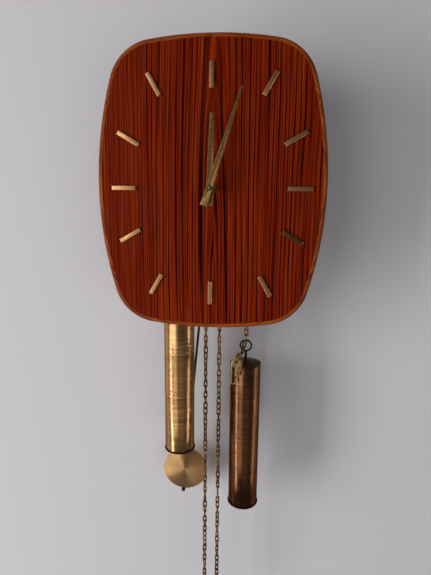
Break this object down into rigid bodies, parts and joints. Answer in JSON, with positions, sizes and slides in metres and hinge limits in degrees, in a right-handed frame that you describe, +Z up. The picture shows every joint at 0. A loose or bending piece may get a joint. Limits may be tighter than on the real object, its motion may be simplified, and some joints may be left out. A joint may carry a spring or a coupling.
{
  "type": "pendulum wall clock",
  "caption": "Weight-driven wall clock with a barrel-shaped veneered face, bar markers, two chain-hung weights and a pendulum.",
  "frame": {"origin": "centre of the hanging hole at the wall plane", "axes": "+X to the right as seen from the front, +Y into the wall, +Z up"},
  "size_m": [0.25, 0.1148, 0.7387],
  "materials": {
    "veneer": "satin",
    "plywood": "matte",
    "edge_wood": "satin",
    "case_wood": "satin",
    "marker_brass": "brushed",
    "hand_brass": "aged",
    "plate_brass": "satin",
    "steel": "satin",
    "screw_steel": "satin",
    "hanger_steel": "satin",
    "iron": "matte",
    "nut_dark": "polished",
    "rod_black": "satin",
    "bob_brass": "spun",
    "chain_brass": "aged",
    "hook_brass": "aged",
    "weight_brass": "brushed",
    "cap_bronze": "dark",
    "eye_bronze": "dark"
  },
  "bodies": {
    "case": {"face_veneer": "veneer", "face_board": "plywood", "edge_banding": "edge_wood", "hour_markers": "marker_brass", "case_sides": "case_wood", "case_top": "case_wood", "case_floor": "case_wood", "case_back": "plywood", "case_screws": "screw_steel", "hanger_plate": "hanger_steel", "front_plate": "plate_brass", "back_plate": "plate_brass", "pillars": "steel", "pillar_nuts": "plate_brass", "movement_posts": "steel", "suspension_cock": "plate_brass", "gong_block": "iron", "gong_rods": "steel"},
    "minute": {"cannon_pinion": "steel", "minute_hand": "hand_brass", "hand_nut": "nut_dark"},
    "hour": {"hour_wheel": "plate_brass", "hour_hand": "hand_brass"},
    "motion": {"minute_wheel": "plate_brass"},
    "centre": {"centre_wheel": "plate_brass"},
    "third": {"third_wheel": "plate_brass"},
    "escape": {"escape_wheel": "plate_brass"},
    "time_great": {"time_great_wheel": "plate_brass"},
    "time_click": {"time_click": "steel"},
    "anchor": {"anchor": "steel", "crutch": "steel"},
    "pendulum": {"suspension_spring": "steel", "pendulum_rod": "rod_black", "pendulum_bob": "bob_brass", "rating_nut": "nut_dark"},
    "time_wheel": {"time_chain_wheel": "plate_brass", "time_chain_wrap": "chain_brass"},
    "time_weight": {"time_chain": "chain_brass", "time_chain_hook": "hook_brass", "time_weight_shell": "weight_brass", "time_weight_caps": "cap_bronze", "time_weight_core": "iron", "time_weight_eye": "eye_bronze"},
    "time_tail": {"time_chain_tail": "chain_brass", "time_tail_ring": "hook_brass"},
    "strike_great": {"strike_great_wheel": "plate_brass"},
    "strike_click": {"strike_click": "steel"},
    "strike_wheel": {"strike_chain_wheel": "plate_brass", "strike_chain_wrap": "chain_brass"},
    "strike_weight": {"strike_chain": "chain_brass", "strike_weight_shell": "weight_brass", "strike_weight_caps": "cap_bronze", "strike_weight_core": "iron", "strike_weight_eye": "eye_bronze"},
    "strike_tail": {"strike_chain_tail": "chain_brass", "strike_tail_ring": "hook_brass"},
    "pin": {"pin_wheel": "plate_brass"},
    "warning": {"warning_wheel": "plate_brass"},
    "fly": {"fly": "plate_brass"},
    "hammer": {"hammer": "steel"}
  },
  "joints": [
    {"name": "minute_turn", "type": "hinge", "parent": "case", "child": "minute", "pos_m": [0, -0.05, -0.105], "axis": [0, 1, 0], "continuous": true},
    {"name": "hour_turn", "type": "hinge", "parent": "case", "child": "hour", "pos_m": [0, -0.05, -0.105], "axis": [0, 1, 0], "continuous": true},
    {"name": "motion_turn", "type": "hinge", "parent": "case", "child": "motion", "pos_m": [-0.00983, -0.05, -0.11188], "axis": [0, 1, 0], "continuous": true},
    {"name": "third_turn", "type": "hinge", "parent": "case", "child": "third", "pos_m": [0, -0.05, -0.0882], "axis": [0, 1, 0], "continuous": true},
    {"name": "centre_turn", "type": "hinge", "parent": "case", "child": "centre", "pos_m": [0, -0.05, -0.105], "axis": [0, 1, 0], "continuous": true},
    {"name": "time_great_turn", "type": "hinge", "parent": "case", "child": "time_great", "pos_m": [0.02525, -0.05, -0.1112], "axis": [0, 1, 0], "continuous": true},
    {"name": "escape_turn", "type": "hinge", "parent": "case", "child": "escape", "pos_m": [0, -0.05, -0.07333], "axis": [0, 1, 0], "continuous": true},
    {"name": "pendulum_swing", "type": "hinge", "parent": "case", "child": "pendulum", "pos_m": [0, -0.05, -0.053], "axis": [0, -1, 0], "range_deg": [-0.85, 11.15]},
    {"name": "anchor_rock", "type": "hinge", "parent": "case", "child": "anchor", "pos_m": [0, -0.05, -0.053], "axis": [0, -1, 0], "range_deg": [-0.85, 11.15]},
    {"name": "time_click_lift", "type": "hinge", "parent": "time_great", "child": "time_click", "pos_m": [0.04125, -0.05, -0.1112], "axis": [0, 1, 0], "range_deg": [0, 12], "stiffness_Nm_per_rad": 0.01, "springref_deg": -17.19},
    {"name": "strike_click_lift", "type": "hinge", "parent": "strike_great", "child": "strike_click", "pos_m": [-0.04125, -0.05, -0.1112], "axis": [0, -1, 0], "range_deg": [0, 12], "stiffness_Nm_per_rad": 0.01, "springref_deg": -17.19},
    {"name": "warning_turn", "type": "hinge", "parent": "case", "child": "warning", "pos_m": [-0.01933, -0.05, -0.07626], "axis": [0, 1, 0], "continuous": true},
    {"name": "pin_turn", "type": "hinge", "parent": "case", "child": "pin", "pos_m": [-0.03044, -0.05, -0.08777], "axis": [0, 1, 0], "continuous": true},
    {"name": "strike_great_turn", "type": "hinge", "parent": "case", "child": "strike_great", "pos_m": [-0.02525, -0.05, -0.1112], "axis": [0, 1, 0], "continuous": true},
    {"name": "fly_turn", "type": "hinge", "parent": "case", "child": "fly", "pos_m": [-0.02152, -0.05, -0.06385], "axis": [0, 1, 0], "continuous": true},
    {"name": "hammer_strike", "type": "hinge", "parent": "case", "child": "hammer", "pos_m": [-0.0365, -0.05, -0.054], "axis": [0, -1, 0], "range_deg": [-6, 7.5], "stiffness_Nm_per_rad": 0.02},
    {"name": "time_weight_slide", "type": "slide", "parent": "case", "child": "time_weight", "axis": [0, 0, 1], "range_m": [-0.085, 0.07], "deforming": ["time_chain"]},
    {"name": "time_wheel_turn", "type": "hinge", "parent": "case", "child": "time_wheel", "pos_m": [0.02525, -0.05, -0.1112], "axis": [0, 1, 0], "range_deg": [-300, 300], "deforming": ["time_chain_wrap"]},
    {"name": "time_tail_slide", "type": "slide", "parent": "case", "child": "time_tail", "axis": [0, 0, 1], "range_m": [-0.07, 0.085], "deforming": ["time_chain_tail"]},
    {"name": "strike_weight_slide", "type": "slide", "parent": "case", "child": "strike_weight", "axis": [0, 0, 1], "range_m": [-0.085, 0.01], "deforming": ["strike_chain"]},
    {"name": "strike_wheel_turn", "type": "hinge", "parent": "case", "child": "strike_wheel", "pos_m": [-0.02525, -0.05, -0.1112], "axis": [0, 1, 0], "range_deg": [-300, 300], "deforming": ["strike_chain_wrap"]},
    {"name": "strike_tail_slide", "type": "slide", "parent": "case", "child": "strike_tail", "axis": [0, 0, 1], "range_m": [-0.01, 0.085], "deforming": ["strike_chain_tail"]}
  ],
  "couplings": [
    {"joint": "hour_turn", "follows": "minute_turn", "ratio": 0.083333},
    {"joint": "motion_turn", "follows": "minute_turn", "ratio": -0.33333},
    {"joint": "centre_turn", "follows": "third_turn", "ratio": -0.10526},
    {"joint": "time_great_turn", "follows": "third_turn", "ratio": 0.0087719},
    {"joint": "escape_turn", "follows": "third_turn", "ratio": -9.625},
    {"joint": "anchor_rock", "follows": "pendulum_swing", "ratio": 1},
    {"joint": "pin_turn", "follows": "warning_turn", "ratio": -0.11111},
    {"joint": "strike_great_turn", "follows": "warning_turn", "ratio": 0.010101},
    {"joint": "fly_turn", "follows": "warning_turn", "ratio": -8},
    {"joint": "time_wheel_turn", "follows": "time_weight_slide", "rad_per_m": -59.701},
    {"joint": "time_tail_slide", "follows": "time_weight_slide", "ratio": -1},
    {"joint": "strike_wheel_turn", "follows": "strike_weight_slide", "rad_per_m": 59.701},
    {"joint": "strike_tail_slide", "follows": "strike_weight_slide", "ratio": -1}
  ]
}
